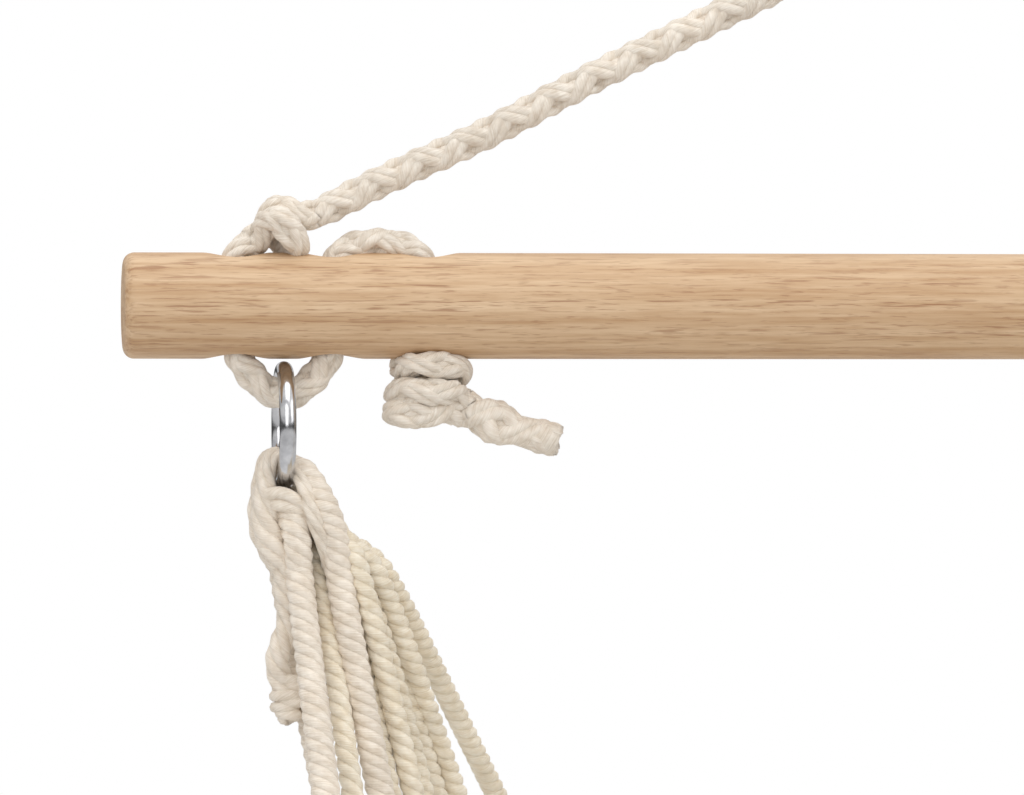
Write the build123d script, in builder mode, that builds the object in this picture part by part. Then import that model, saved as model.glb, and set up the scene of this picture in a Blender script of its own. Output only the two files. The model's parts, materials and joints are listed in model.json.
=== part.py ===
"""Hanging hammock chair: an oak spreader bar on a plaited rope, with a ring and a fan of cords at each end.

Units are millimetres. +Z is up, X runs along the bar and +Y points to the back of the seat. The origin is
the inside top of the hanging ring, where the hook that carries the chair bears.
"""

import math
import os

from build123d import *

os.makedirs("parts", exist_ok=True)

# ---- driving dimensions --------------------------------------------------------------------------
bar_length = 1000.0
bar_diameter = 38.0
bar_end_round = 4.0
first_hole = 40.5  # from the end of the bar to the first rope hole
hole_pitch = 34.0
hole_mouth_round = 7.0
rope_diameter = 10.0
rope_clearance = 0.5  # between the rope and the wood, all round
ring_wire = 6.0
ring_inside = 35.0
ring_gap = 0.8  # between the top of a side ring and the bar
wire_clearance = 0.4  # between a ring's wire and the rope or hitch round it
top_ring_wire = 8.0
top_ring_inside = 50.0
leg_angle = 25.8  # of each suspension leg above the horizontal
lead_angle = 36.0  # of the rope between the first hole and the bar knot
lead_length = 20.3
knot_gap = 0.3  # between a knot and the wood, or a rope's end and its knot
top_knot_radius = 15.0
top_knot_drop = 27.0  # from the hanging ring's wire to the top knot
stopper_radius = 13.5
stopper_height = 23.0
stopper_round = 3.0
tail_length = 34.0
tail_angle = -18.0
pale_cord_diameter = 8.4
tan_cord_diameter = 7.0
hitch_depth = 27.0
cord_row = 8.5  # between the front, middle and back rows of cords in the hitch
hitch_tail_length = 40.0
hitch_tail_outset = 4.0  # from the ring's centre away from the middle of the chair
tail_knot_radius = 6.5
edge_knot_radius = 7.0
edge_rope_diameter = 11.0
cloth_thickness = 3.0
channel_overrun = 15.0  # of the cloth's edge channels past the ends of the edge ropes
seat_gap = 0.3  # between the cords, the hitch, the edge rope and the cloth

# Each side edge of the seat cloth is a parabola from the back corner to the front corner, which starts
# towards its belly point. X is inwards from the side ring and Z from the bar's axis.
seat_back_corner = (220.5, 375.0, -400.0)
seat_belly = (192.5, 155.0, -780.0)
seat_front_corner = (67.5, -325.0, -780.0)
back_sag = 190.0  # of the cloth's middle below its side edges
middle_sag = 275.0
front_sag = 210.0

# ---- places that follow from them ----------------------------------------------------------------
bar_radius = bar_diameter / 2
rope_radius = rope_diameter / 2
hole_radius = rope_radius + rope_clearance
mouth_z = bar_radius - hole_mouth_round
bend_radius = hole_mouth_round + hole_radius  # of the rope over a hole's rounded mouth
first_hole_x = bar_length / 2 - first_hole
hole_places = [first_hole_x - hole_pitch * n for n in range(3)]
arch_z = mouth_z + bend_radius

ring_radius = (ring_inside + ring_wire) / 2
ring_x = (hole_places[0] + hole_places[1]) / 2
ring_z = -(bar_radius + ring_gap + ring_wire / 2 + ring_radius)
loop_z = -(bar_radius + ring_gap + ring_wire + wire_clearance + rope_radius)

turn = math.radians(90 - lead_angle)
lead_z = mouth_z + bend_radius * math.tan(turn / 2)
bar_knot_x = first_hole_x - lead_length * math.cos(math.radians(lead_angle))
bar_knot_z = lead_z + lead_length * math.sin(math.radians(lead_angle))
bar_knot_radius = bar_knot_z - bar_radius - knot_gap

top_ring_radius = (top_ring_inside + top_ring_wire) / 2
top_ring_z = -top_ring_inside / 2
top_wire_z = top_ring_z - top_ring_radius
top_knot_z = top_wire_z - top_knot_drop
bar_z = top_knot_z - bar_knot_z - bar_knot_x * math.tan(math.radians(leg_angle))

hitch_bottom = ring_z - ring_radius - 33.0
# Each cord: where it leaves the hitch, from the ring's centre towards the middle of the chair, its row and
# thickness, and its place on the seat's side edge, from the back, 0, to the front, 1.
cords = [
    (5.2, -cord_row, pale_cord_diameter, 0.98),
    (13.2, 0.0, tan_cord_diameter, 0.88),
    (-2.0, cord_row, pale_cord_diameter, 0.79),
    (20.2, -cord_row, pale_cord_diameter, 0.69),
    (22.2, 0.0, tan_cord_diameter, 0.60),
    (29.0, -cord_row, tan_cord_diameter, 0.50),
    (31.5, 0.0, tan_cord_diameter, 0.41),
    (32.7, cord_row, tan_cord_diameter, 0.31),
    (40.5, 0.0, tan_cord_diameter, 0.21),
    (44.0, cord_row, tan_cord_diameter, 0.02),
]


def edge_corners(side):
    """The three points that set one side edge of the cloth, from its back to its front."""
    corners = (seat_back_corner, seat_belly, seat_front_corner)
    return [Vector(side * (ring_x - x), y, bar_z + z) for x, y, z in corners]


def edge_point(share, side):
    """A point on the cloth's side edge, at a share of the way from its back, 0, to its front, 1."""
    back, belly, front = edge_corners(side)
    return back * (1 - share) ** 2 + belly * (2 * share * (1 - share)) + front * share**2


def edge_way(share, side):
    """The direction of the cloth's side edge at the same place."""
    back, belly, front = edge_corners(side)
    return ((belly - back) * (1 - share) + (front - belly) * share).normalized()


def cloth_sag(share):
    """How far the middle of the cloth hangs below its side edges."""
    bulge = 4 * middle_sag - 2 * (back_sag + front_sag)
    return back_sag * (1 - share) + front_sag * share + bulge * share * (1 - share)


def straight_cord(start, end, diameter):
    """A straight round cord between two points."""
    with BuildPart() as cord:
        with BuildSketch(Plane(origin=start, z_dir=end - start)):
            Circle(diameter / 2)
        extrude(amount=(end - start).length)
    return cord


def ball(centre, radius):
    """A round knot, as a ball."""
    with BuildPart(Plane(origin=centre)) as knot:
        Sphere(radius)
    return knot


def write(built, name):
    """Labels a finished sub-part and writes it to its own file."""
    built.part.label = name
    export_step(built.part, f"parts/{name}.step")


# ---- hanging ring, rope eye and top knot -----------------------------------------------------------
with BuildPart() as top_ring:
    with BuildSketch(Plane.XY.offset(top_ring_z)):
        with Locations((0, top_ring_radius)):
            Circle(top_ring_wire / 2)
    revolve(axis=Axis((0, 0, top_ring_z), (1, 0, 0)))
write(top_ring, "top_ring")

eye_radius = top_ring_wire / 2 + wire_clearance + rope_radius
eye_foot = top_knot_z + math.sqrt(top_knot_radius**2 - (eye_radius - rope_radius) ** 2) + knot_gap
with BuildPart() as rope_eye:
    with BuildLine() as eye_line:
        Line((-eye_radius, 0, eye_foot), (-eye_radius, 0, top_wire_z))
        ThreePointArc(
            (-eye_radius, 0, top_wire_z),
            (0, 0, top_wire_z + eye_radius),
            (eye_radius, 0, top_wire_z),
        )
        Line((eye_radius, 0, top_wire_z), (eye_radius, 0, eye_foot))
    with BuildSketch(Plane(origin=(-eye_radius, 0, eye_foot), z_dir=(0, 0, 1))):
        Circle(rope_radius)
    sweep(path=eye_line.line)
write(rope_eye, "rope_eye")

top_knot_centre = Vector(0, 0, top_knot_z)
write(ball(top_knot_centre, top_knot_radius), "top_knot")

# ---- spreader bar -----------------------------------------------------------------------------------
bar_plane = Plane(origin=(-bar_length / 2, 0, bar_z), x_dir=(0, 1, 0), z_dir=(1, 0, 0))
with BuildPart() as spreader_bar:
    with BuildSketch(bar_plane):
        Circle(bar_radius)
    extrude(amount=bar_length)
    fillet(spreader_bar.edges().filter_by(GeomType.CIRCLE), radius=bar_end_round)
    for hole_x in [side * place for side in (-1, 1) for place in hole_places]:
        with BuildSketch(Plane(origin=(hole_x, 0, bar_z), x_dir=(1, 0, 0), z_dir=(0, -1, 0))):
            with BuildLine():
                Polyline(
                    (bend_radius, -bar_radius),
                    (bend_radius, -bar_radius - 1),
                    (0, -bar_radius - 1),
                    (0, bar_radius + 1),
                    (bend_radius, bar_radius + 1),
                    (bend_radius, bar_radius),
                )
                RadiusArc((bend_radius, bar_radius), (hole_radius, mouth_z), -hole_mouth_round)
                Line((hole_radius, mouth_z), (hole_radius, -mouth_z))
                RadiusArc((hole_radius, -mouth_z), (bend_radius, -bar_radius), -hole_mouth_round)
            make_face()
        revolve(axis=Axis((hole_x, 0, bar_z), (0, 0, 1)), mode=Mode.SUBTRACT)
write(spreader_bar, "spreader_bar")

# ---- each end: rope, knots, ring, hitch and cords ----------------------------------------------------
for side_name, side in (("left", -1), ("right", 1)):
    bar_knot_centre = Vector(side * bar_knot_x, 0, bar_z + bar_knot_z)
    write(ball(bar_knot_centre, bar_knot_radius), f"{side_name}_bar_knot")

    leg_line = (top_knot_centre - bar_knot_centre).normalized()
    leg = straight_cord(
        bar_knot_centre + leg_line * (bar_knot_radius + knot_gap),
        top_knot_centre - leg_line * (top_knot_radius + knot_gap),
        rope_diameter,
    )
    write(leg, f"{side_name}_suspension_rope")

    stopper_top = bar_z - bar_radius - knot_gap
    lead = Vector(side * (bar_knot_x - first_hole_x), 0, bar_knot_z - lead_z).normalized()
    with BuildPart() as ring_rope:
        with BuildLine() as ring_rope_line:
            FilletPolyline(
                bar_knot_centre - lead * (bar_knot_radius + knot_gap),
                (side * hole_places[0], 0, bar_z + lead_z),
                (side * hole_places[0], 0, bar_z + loop_z),
                (side * hole_places[1], 0, bar_z + loop_z),
                (side * hole_places[1], 0, bar_z + arch_z),
                (side * hole_places[2], 0, bar_z + arch_z),
                (side * hole_places[2], 0, stopper_top + knot_gap),
                radius=[bend_radius, hole_pitch / 2 - 0.1, hole_pitch / 2 - 0.1, bend_radius, bend_radius],
            )
        with BuildSketch(Plane(origin=ring_rope_line.line @ 0, z_dir=ring_rope_line.line % 0)):
            Circle(rope_radius)
        sweep(path=ring_rope_line.line)
    write(ring_rope, f"{side_name}_ring_rope")

    with BuildPart() as stopper:
        with BuildSketch(Plane(origin=(side * hole_places[2], 0, stopper_top))):
            Circle(stopper_radius)
        extrude(amount=-stopper_height)
        fillet(stopper.edges(), radius=stopper_round)
    write(stopper, f"{side_name}_stopper_knot")

    tail_way = Vector(-side, 0, math.tan(math.radians(tail_angle))).normalized()
    tail_clear = stopper_radius + knot_gap + rope_radius * math.sin(math.radians(abs(tail_angle)))
    tail_z = stopper_top - stopper_height + stopper_round + rope_radius
    tail_foot = Vector(side * (hole_places[2] - tail_clear), 0, tail_z)
    tail = straight_cord(tail_foot, tail_foot + tail_way * tail_length, rope_diameter)
    write(tail, f"{side_name}_rope_tail")

    # The side ring stands across the bar, so the rope's loop goes through it.
    ring_centre = Vector(side * ring_x, 0, bar_z + ring_z)
    with BuildPart() as side_ring:
        with BuildSketch(Plane.XY.offset(ring_centre.Z)):
            with Locations((ring_centre.X, ring_radius)):
                Circle(ring_wire / 2)
        revolve(axis=Axis(ring_centre, (1, 0, 0)))
    write(side_ring, f"{side_name}_ring")

    # The hitch is the lark's head of the cords round the ring, with a running channel for the wire.
    with BuildPart() as hitch:
        with BuildSketch(Plane(origin=ring_centre, x_dir=(-side, 0, 0), z_dir=(0, side, 0))):
            with BuildLine():
                Polyline(
                    (-7, -6),
                    (-13, -16),
                    (-13.5, -30),
                    (-10, -44),
                    (-7.5, hitch_bottom - ring_z),
                    (48.5, hitch_bottom - ring_z),
                    (41, -46),
                    (22, -34),
                    (16, -20),
                    (8, -7),
                    close=True,
                )
            make_face()
        extrude(amount=hitch_depth / 2, both=True)
        fillet(hitch.faces().filter_by(Axis.Y).edges(), radius=2.5)
        with BuildSketch(Plane.XY.offset(ring_centre.Z)):
            with Locations((ring_centre.X, ring_radius)):
                Circle(ring_wire / 2 + wire_clearance)
        revolve(axis=Axis(ring_centre, (1, 0, 0)), mode=Mode.SUBTRACT)
    write(hitch, f"{side_name}_hitch")

    hitch_foot = bar_z + hitch_bottom - seat_gap
    tail_top = Vector(ring_centre.X + side * hitch_tail_outset, -cord_row, hitch_foot)
    tail_end = tail_top - Vector(0, 0, hitch_tail_length)
    write(straight_cord(tail_top, tail_end, tan_cord_diameter), f"{side_name}_hitch_tail")
    tail_knot_centre = tail_end - Vector(0, 0, tail_knot_radius + seat_gap)
    write(ball(tail_knot_centre, tail_knot_radius), f"{side_name}_tail_knot")

    knot_centres = []
    for number, (inset, row_y, diameter, share) in enumerate(cords):
        edge = edge_point(share, side)
        top = Vector(ring_centre.X - side * inset, row_y, hitch_foot)
        along = edge_way(share, side)
        rise = (top - edge).normalized()
        outwards = (rise - along * rise.dot(along)).normalized()
        knot_centre = edge + outwards * (edge_rope_diameter / 2 + seat_gap + edge_knot_radius)
        knot_centres.append(knot_centre)
        way = (knot_centre - top).normalized()
        top = top - Vector(0, 0, diameter / 2 * math.hypot(way.X, way.Y))
        foot = knot_centre - way * (edge_knot_radius + seat_gap)
        write(straight_cord(top, foot, diameter), f"{side_name}_cord_{number + 1:02d}")

    with BuildPart() as edge_knots:
        with Locations(*knot_centres):
            Sphere(edge_knot_radius)
    write(edge_knots, f"{side_name}_edge_knots")

    with BuildPart() as edge_rope:
        with BuildLine() as edge_rope_line:
            Bezier(*edge_corners(side))
        with BuildSketch(Plane(origin=edge_rope_line.line @ 0, z_dir=edge_rope_line.line % 0)):
            Circle(edge_rope_diameter / 2)
        sweep(path=edge_rope_line.line)
    write(edge_rope, f"{side_name}_edge_rope")


# ---- seat cloth ----------------------------------------------------------------------------------------
def cloth_line(share, lift):
    """Points across the cloth's underside or top at one share of its length, from left to right."""
    edge = edge_point(share, 1)
    across = [n / 4 - 1 for n in range(9)]
    return [(edge.X * u, edge.Z - cloth_sag(share) * (1 - u**2) + lift) for u in across]


with BuildPart() as seat_cloth:
    for share in [n / 6 for n in range(7)]:
        low = cloth_line(share, -cloth_thickness / 2)
        high = cloth_line(share, cloth_thickness / 2)
        with BuildSketch(Plane(origin=(0, edge_point(share, 1).Y, 0), x_dir=(1, 0, 0), z_dir=(0, -1, 0))):
            with BuildLine():
                Spline(low)
                Line(low[-1], high[-1])
                Spline(high[::-1])
                Line(high[0], low[0])
            make_face()
    loft()
    for side in (-1, 1):
        back, belly, front = edge_corners(side)
        with BuildLine() as channel_line:
            Line(back - edge_way(0, side) * channel_overrun, back)
            Bezier(back, belly, front)
            Line(front, front + edge_way(1, side) * channel_overrun)
        with BuildSketch(Plane(origin=channel_line.line @ 0, z_dir=channel_line.line % 0)):
            Circle(edge_rope_diameter / 2 + seat_gap)
        sweep(path=channel_line.line, mode=Mode.SUBTRACT)
write(seat_cloth, "seat_cloth")
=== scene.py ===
"""Hanging hammock chair: an oak spreader bar on a plaited rope, a steel ring and a fan of cords at each
end, and a cotton seat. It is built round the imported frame, in metres, with every piece in the frame's place.
"""
import json
import logging
import math
from dataclasses import dataclass, field
from enum import Enum
from typing import Iterable, Sequence

import bpy
import numpy as np
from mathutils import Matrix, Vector

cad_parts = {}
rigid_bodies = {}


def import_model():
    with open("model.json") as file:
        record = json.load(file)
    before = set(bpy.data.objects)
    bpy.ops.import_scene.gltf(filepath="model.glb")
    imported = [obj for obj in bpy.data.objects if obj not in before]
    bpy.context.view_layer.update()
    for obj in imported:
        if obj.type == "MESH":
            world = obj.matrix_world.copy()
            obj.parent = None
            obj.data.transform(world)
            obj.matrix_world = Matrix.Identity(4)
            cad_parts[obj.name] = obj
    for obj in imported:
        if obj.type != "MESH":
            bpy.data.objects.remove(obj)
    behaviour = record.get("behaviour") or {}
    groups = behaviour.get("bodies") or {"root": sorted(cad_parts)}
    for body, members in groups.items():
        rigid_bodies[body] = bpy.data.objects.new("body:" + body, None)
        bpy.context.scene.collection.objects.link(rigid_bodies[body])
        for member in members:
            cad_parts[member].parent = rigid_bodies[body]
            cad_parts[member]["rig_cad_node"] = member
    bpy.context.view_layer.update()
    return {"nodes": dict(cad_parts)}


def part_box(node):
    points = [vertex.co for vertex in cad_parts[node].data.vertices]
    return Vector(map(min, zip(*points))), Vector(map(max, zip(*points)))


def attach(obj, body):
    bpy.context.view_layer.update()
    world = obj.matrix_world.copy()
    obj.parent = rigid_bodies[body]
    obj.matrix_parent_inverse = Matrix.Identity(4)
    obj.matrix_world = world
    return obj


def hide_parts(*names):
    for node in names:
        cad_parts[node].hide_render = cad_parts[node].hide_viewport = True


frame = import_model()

log = logging.getLogger("hammock_chair")

MM = 0.001


# ---- the chair's shared sizes, in millimetres from the hanging ring's inside top -------------------------
BAR_RADIUS = 19.0
BAR_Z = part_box("spreader_bar")[0].z / MM + BAR_RADIUS
HOLE_X = (459.5, 425.5, 391.5)
RING_X = 442.5
RING_Z = BAR_Z - 43.3
HITCH_FOOT = BAR_Z - 97.1
TOP_KNOT_Z = -81.0
BAR_KNOT = (443.08, 30.3)
ROPE_STEP = 0.85


class Side(Enum):
    """An end of the bar, and the way that X runs outwards there."""

    LEFT = -1
    RIGHT = 1

    @property
    def label(self) -> str:
        """The word that starts the names of this side's pieces."""
        return self.name.lower()

    def at(self, out: float, y: float, z: float) -> Vector:
        """A point on this side.

        Args:
            out: Distance from the middle of the chair, in millimetres.
            y: Distance towards the back, in millimetres.
            z: Height in the frame, in millimetres.

        Returns:
            The point in metres.
        """
        return Vector((self.value * out, y, z)) * MM


# ---- lines and strands --------------------------------------------------------------------------------------
@dataclass
class Line:
    """A smooth line with a steady frame at each of its points."""

    points: np.ndarray
    way: np.ndarray
    front: np.ndarray
    aside: np.ndarray
    reach: np.ndarray

    @classmethod
    def through(cls, route: Sequence[Vector], step: float, facing: tuple = (0.0, -1.0, 0.0)) -> "Line":
        """Reads a line from a NURBS spline that has the route as its control points.

        Args:
            route: The route's points, in metres.
            step: Distance between the line's points, in metres.
            facing: The way that the line's front faces at its start.

        Returns:
            The line, with its frame carried along it without a turn.
        """
        curve = bpy.data.curves.new("route", "CURVE")
        curve.dimensions = "3D"
        spline = curve.splines.new("NURBS")
        spline.points.add(len(route) - 1)
        for control, place in zip(spline.points, route):
            control.co = (*place, 1.0)
        spline.order_u = 3
        spline.use_endpoint_u = True
        spline.resolution_u = 32
        holder = bpy.data.objects.new("route", curve)
        mesh = bpy.data.meshes.new_from_object(holder)
        read = np.array([v.co for v in mesh.vertices], float)
        bpy.data.objects.remove(holder)
        bpy.data.curves.remove(curve)
        bpy.data.meshes.remove(mesh)
        gaps = np.linalg.norm(np.diff(read, axis=0), axis=1)
        kept = np.concatenate([[True], gaps > 1e-9])
        read = read[kept]
        reach = np.concatenate([[0.0], np.cumsum(np.linalg.norm(np.diff(read, axis=0), axis=1))])
        count = max(4, int(round(reach[-1] / step)) + 1)
        even = np.linspace(0.0, reach[-1], count)
        points = np.stack([np.interp(even, reach, read[:, axis]) for axis in range(3)], axis=1)
        way = np.gradient(points, axis=0)
        way /= np.linalg.norm(way, axis=1)[:, None]
        front = np.zeros_like(points)
        carried = np.array(facing, float)
        for index, direction in enumerate(way):
            carried = carried - direction * carried.dot(direction)
            carried /= np.linalg.norm(carried)
            front[index] = carried
        return cls(points, way, front, np.cross(way, front), even)

    @property
    def length(self) -> float:
        """The line's length, in metres."""
        return float(self.reach[-1] - self.reach[0])

    def nearest(self, place: Vector, after: int = 0) -> int:
        """The index of the line's point nearest to a place.

        Args:
            place: The place, in metres.
            after: The first index that counts.

        Returns:
            The index.
        """
        gaps = np.linalg.norm(self.points[after:] - np.array(place), axis=1)
        return after + int(gaps.argmin())

    def part(self, start: int, end: int) -> "Line":
        """The part of the line from one index to another, both kept."""
        cut = slice(start, end + 1)
        return Line(self.points[cut], self.way[cut], self.front[cut], self.aside[cut], self.reach[cut])


@dataclass
class Strand:
    """One round strand: its middle line, its thickness along it, and the way its section faces."""

    centre: np.ndarray
    radius: np.ndarray
    facing: np.ndarray
    reach: np.ndarray


@dataclass(frozen=True)
class Plait:
    """An eight-strand round plait: four pairs of strands, two wound each way. Sizes in millimetres."""

    middle: float = 3.4
    wave: float = 0.5
    turn: float = 35.0
    pair_gap: float = 1.5
    strand: float = 2.12
    heart: float = 3.0

    def strands(self, line: Line, swell: np.ndarray) -> list[Strand]:
        """The plait's strands along a line.

        Args:
            line: The rope's middle line.
            swell: The rope's thickness along the line, as a share of its usual one.

        Returns:
            The eight strands and the heart that they lie on.
        """
        made = [Strand(line.points, self.heart * MM * swell, line.front, line.reach)]
        wind = 2 * math.pi * line.reach / (self.turn * MM)
        for turning, start in ((1, 0.0), (1, math.pi), (-1, math.pi / 2), (-1, math.pi * 1.5)):
            angle = turning * wind + start
            lift = turning * self.wave * np.cos(2 * (angle - math.pi / 4))
            for beside in (-1, 1):
                spread = angle + beside * turning * self.pair_gap / self.middle
                out = line.front * np.cos(spread)[:, None] + line.aside * np.sin(spread)[:, None]
                away = (self.middle + lift) * MM * swell
                centre = line.points + out * away[:, None]
                made.append(Strand(centre, self.strand * MM * swell, out, line.reach))
        return made


@dataclass(frozen=True)
class Twist:
    """A laid cord: strands that wind round each other. Sizes in millimetres."""

    count: int
    diameter: float
    lay: float
    soft: float = 1.1

    def strands(self, line: Line, swell: np.ndarray, phase: float = 0.0) -> list[Strand]:
        """The cord's strands along a line.

        Args:
            line: The cord's middle line.
            swell: The cord's thickness along the line, as a share of its usual one.
            phase: Where the first strand starts round the cord, in radians.

        Returns:
            The strands.
        """
        packed = self.diameter / 2 / (1 + 1 / math.sin(math.pi / self.count))
        thick = packed * self.soft
        middle = self.diameter / 2 - thick
        made = []
        for number in range(self.count):
            angle = phase + 2 * math.pi * (number / self.count - line.reach / (self.lay * MM))
            out = line.front * np.cos(angle)[:, None] + line.aside * np.sin(angle)[:, None]
            centre = line.points + out * (middle * MM * swell)[:, None]
            made.append(Strand(centre, thick * MM * swell, out, line.reach))
        return made


def steady(line: Line, share: float = 1.0) -> np.ndarray:
    """The same thickness all along a line."""
    return np.full(len(line.points), share)


def mapped_piece(mesh: bpy.types.Mesh, layer: str, places: np.ndarray) -> bpy.types.Object:
    """Makes a smooth piece from a mesh, and lays a map on it.

    Args:
        mesh: The mesh, which also names the piece.
        layer: The map's name.
        places: The place on the map of each face corner, in order.

    Returns:
        The piece.
    """
    mesh.uv_layers.new(name=layer).data.foreach_set("uv", places.astype(np.float32).ravel())
    mesh.polygons.foreach_set("use_smooth", np.ones(len(mesh.polygons), bool))
    mesh.update()
    piece = bpy.data.objects.new(mesh.name, mesh)
    bpy.context.scene.collection.objects.link(piece)
    return piece


def strand_piece(name: str, strands: Iterable[Strand], sides: int = 8) -> bpy.types.Object:
    """Makes one mesh from round strands, with a map that runs along and round each of them.

    Args:
        name: The piece's name.
        strands: The strands.
        sides: Corners round each strand.

    Returns:
        The new piece.
    """
    corners, quads, caps, quad_map, cap_map = [], [], [], [], []
    base = 0
    turn = 2 * np.pi * np.arange(sides) / sides
    for strand in strands:
        way = np.gradient(strand.centre, axis=0)
        way /= np.linalg.norm(way, axis=1)[:, None]
        out = strand.facing - way * (strand.facing * way).sum(axis=1)[:, None]
        out /= np.linalg.norm(out, axis=1)[:, None]
        across = np.cross(way, out)
        ring = out[:, None] * np.cos(turn)[None, :, None] + across[:, None] * np.sin(turn)[None, :, None]
        corners.append((strand.centre[:, None] + ring * strand.radius[:, None, None]).reshape(-1, 3))
        count = len(strand.centre)
        low = np.arange(count - 1)[:, None] * sides
        here, there = np.arange(sides)[None, :], (np.arange(sides)[None, :] + 1) % sides
        quad = np.stack([low + here, low + there, low + sides + there, low + sides + here], 2)
        quads.append(base + quad.reshape(-1, 4))
        u, v = strand.reach, np.arange(sides + 1) / sides
        u0, u1 = np.repeat(u[:-1], sides), np.repeat(u[1:], sides)
        v0, v1 = np.tile(v[:-1], count - 1), np.tile(v[1:], count - 1)
        quad_map.append(np.stack([u0, v0, u0, v1, u1, v1, u1, v0], 1).reshape(-1, 2))
        first, last = base + np.arange(sides)[::-1], base + (count - 1) * sides + np.arange(sides)
        caps += [first.tolist(), last.tolist()]
        cap_map.append(np.stack([np.full(sides, u[0]), np.arange(sides)[::-1] / sides], 1))
        cap_map.append(np.stack([np.full(sides, u[-1]), np.arange(sides) / sides], 1))
        base += count * sides
    mesh = bpy.data.meshes.new(name)
    mesh.from_pydata(np.concatenate(corners).tolist(), [], np.concatenate(quads).tolist() + caps)
    return mapped_piece(mesh, "strand", np.concatenate(quad_map + cap_map))


# ---- finishes ----------------------------------------------------------------------------------------------
class Recipe:
    """Adds and joins the nodes of one node tree."""

    def __init__(self, tree: bpy.types.NodeTree) -> None:
        """Starts on an empty tree.

        Args:
            tree: The node tree to fill.
        """
        self.tree = tree
        tree.nodes.clear()

    def node(self, kind: str, sockets: dict | None = None, **settings: object) -> bpy.types.Node:
        """Adds a node.

        Args:
            kind: The node's type.
            sockets: Values for its inputs, by name or number.
            settings: Its own settings.

        Returns:
            The node.
        """
        made = self.tree.nodes.new(kind)
        for name, value in settings.items():
            setattr(made, name, value)
        for name, value in (sockets or {}).items():
            made.inputs[name].default_value = value
        return made

    def join(self, source: bpy.types.NodeSocket, target: bpy.types.NodeSocket) -> None:
        """Links an output to an input."""
        self.tree.links.new(source, target)

    def fill(self, node: bpy.types.Node, given: dict[int, object]) -> None:
        """Sets or links a node's inputs.

        Args:
            node: The node.
            given: A value or an output for each input, by the input's number.
        """
        for number, value in given.items():
            if isinstance(value, bpy.types.NodeSocket):
                self.join(value, node.inputs[number])
            else:
                node.inputs[number].default_value = value

    def sum(self, operation: str, first: object, second: object = 0.0) -> bpy.types.NodeSocket:
        """Adds a Math node on two values or outputs.

        Args:
            operation: The Math node's operation.
            first: A number or an output.
            second: A number or an output.

        Returns:
            The node's output.
        """
        made = self.node("ShaderNodeMath", operation=operation)
        self.fill(made, {0: first, 1: second})
        return made.outputs[0]

    def blend(self, amount: object, low: tuple, high: object) -> bpy.types.NodeSocket:
        """Adds a colour Mix node.

        Args:
            amount: The share of the second colour, a number or an output.
            low: The first colour, or an output.
            high: The second colour, or an output.

        Returns:
            The mixed colour's output.
        """
        made = self.node("ShaderNodeMix", data_type="RGBA")
        self.fill(made, {0: amount, 6: low, 7: high})
        return made.outputs[2]

    def spread(self, value: bpy.types.NodeSocket, low: float, high: float) -> bpy.types.NodeSocket:
        """Stretches a value so that low becomes 0 and high becomes 1.

        Args:
            value: The value's output.
            low: What becomes 0.
            high: What becomes 1.

        Returns:
            The stretched value's output.
        """
        made = self.node("ShaderNodeMapRange", {"From Min": low, "From Max": high})
        self.join(value, made.inputs["Value"])
        return made.outputs[0]

    def streaks(
        self, place: bpy.types.NodeSocket, scale: tuple, detail: float, roughness: float = 0.5
    ) -> bpy.types.NodeSocket:
        """Adds noise that is drawn out more one way than another.

        Args:
            place: The output that says where a spot is, in metres.
            scale: The streaks per metre, each way.
            detail: The noise's detail.
            roughness: The noise's roughness.

        Returns:
            The noise's output.
        """
        drawn = self.node("ShaderNodeMapping", {"Scale": scale})
        noise = self.node("ShaderNodeTexNoise", {"Scale": 1.0, "Detail": detail, "Roughness": roughness})
        self.join(place, drawn.inputs["Vector"])
        self.join(drawn.outputs[0], noise.inputs["Vector"])
        return noise.outputs[0]

    def surface(
        self, colour: bpy.types.NodeSocket, height: bpy.types.NodeSocket, relief: dict, gloss: dict
    ) -> bpy.types.Node:
        """Ends a material with its shader, its colour and its bump.

        Args:
            colour: The colour's output.
            height: The output that raises the bump.
            relief: The bump's strength and distance.
            gloss: The shader's own values.

        Returns:
            The shader.
        """
        bump = self.node("ShaderNodeBump", relief)
        self.join(height, bump.inputs["Height"])
        shader = self.node("ShaderNodeBsdfPrincipled", gloss)
        self.join(colour, shader.inputs["Base Color"])
        self.join(bump.outputs[0], shader.inputs["Normal"])
        self.join(shader.outputs[0], self.node("ShaderNodeOutputMaterial").inputs[0])
        return shader


def paint(red: int, green: int, blue: int) -> tuple[float, float, float, float]:
    """A shader colour from screen values of 0 to 255."""
    linear = [((c / 255 + 0.055) / 1.055) ** 2.4 if c > 10 else c / 255 / 12.92 for c in (red, green, blue)]
    return (*linear, 1.0)


def new_material(name: str) -> tuple[bpy.types.Material, Recipe]:
    """Starts a material, with the recipe that fills it.

    Args:
        name: The material's name.

    Returns:
        The material and its recipe.
    """
    made = bpy.data.materials.new(name)
    made.use_nodes = True
    return made, Recipe(made.node_tree)


def shader_group(name: str, inputs: dict[str, float], outputs: Sequence[str]) -> tuple:
    """Starts a shader node group.

    Args:
        name: The group's name.
        inputs: Its number inputs and what they start at.
        outputs: Its number outputs.

    Returns:
        The group, its recipe, its input node and its output node.
    """
    group = bpy.data.node_groups.new(name, "ShaderNodeTree")
    for title, value in inputs.items():
        group.interface.new_socket(title, in_out="INPUT", socket_type="NodeSocketFloat").default_value = value
    for title in outputs:
        group.interface.new_socket(title, in_out="OUTPUT", socket_type="NodeSocketFloat")
    recipe = Recipe(group)
    return group, recipe, recipe.node("NodeGroupInput"), recipe.node("NodeGroupOutput")


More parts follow.
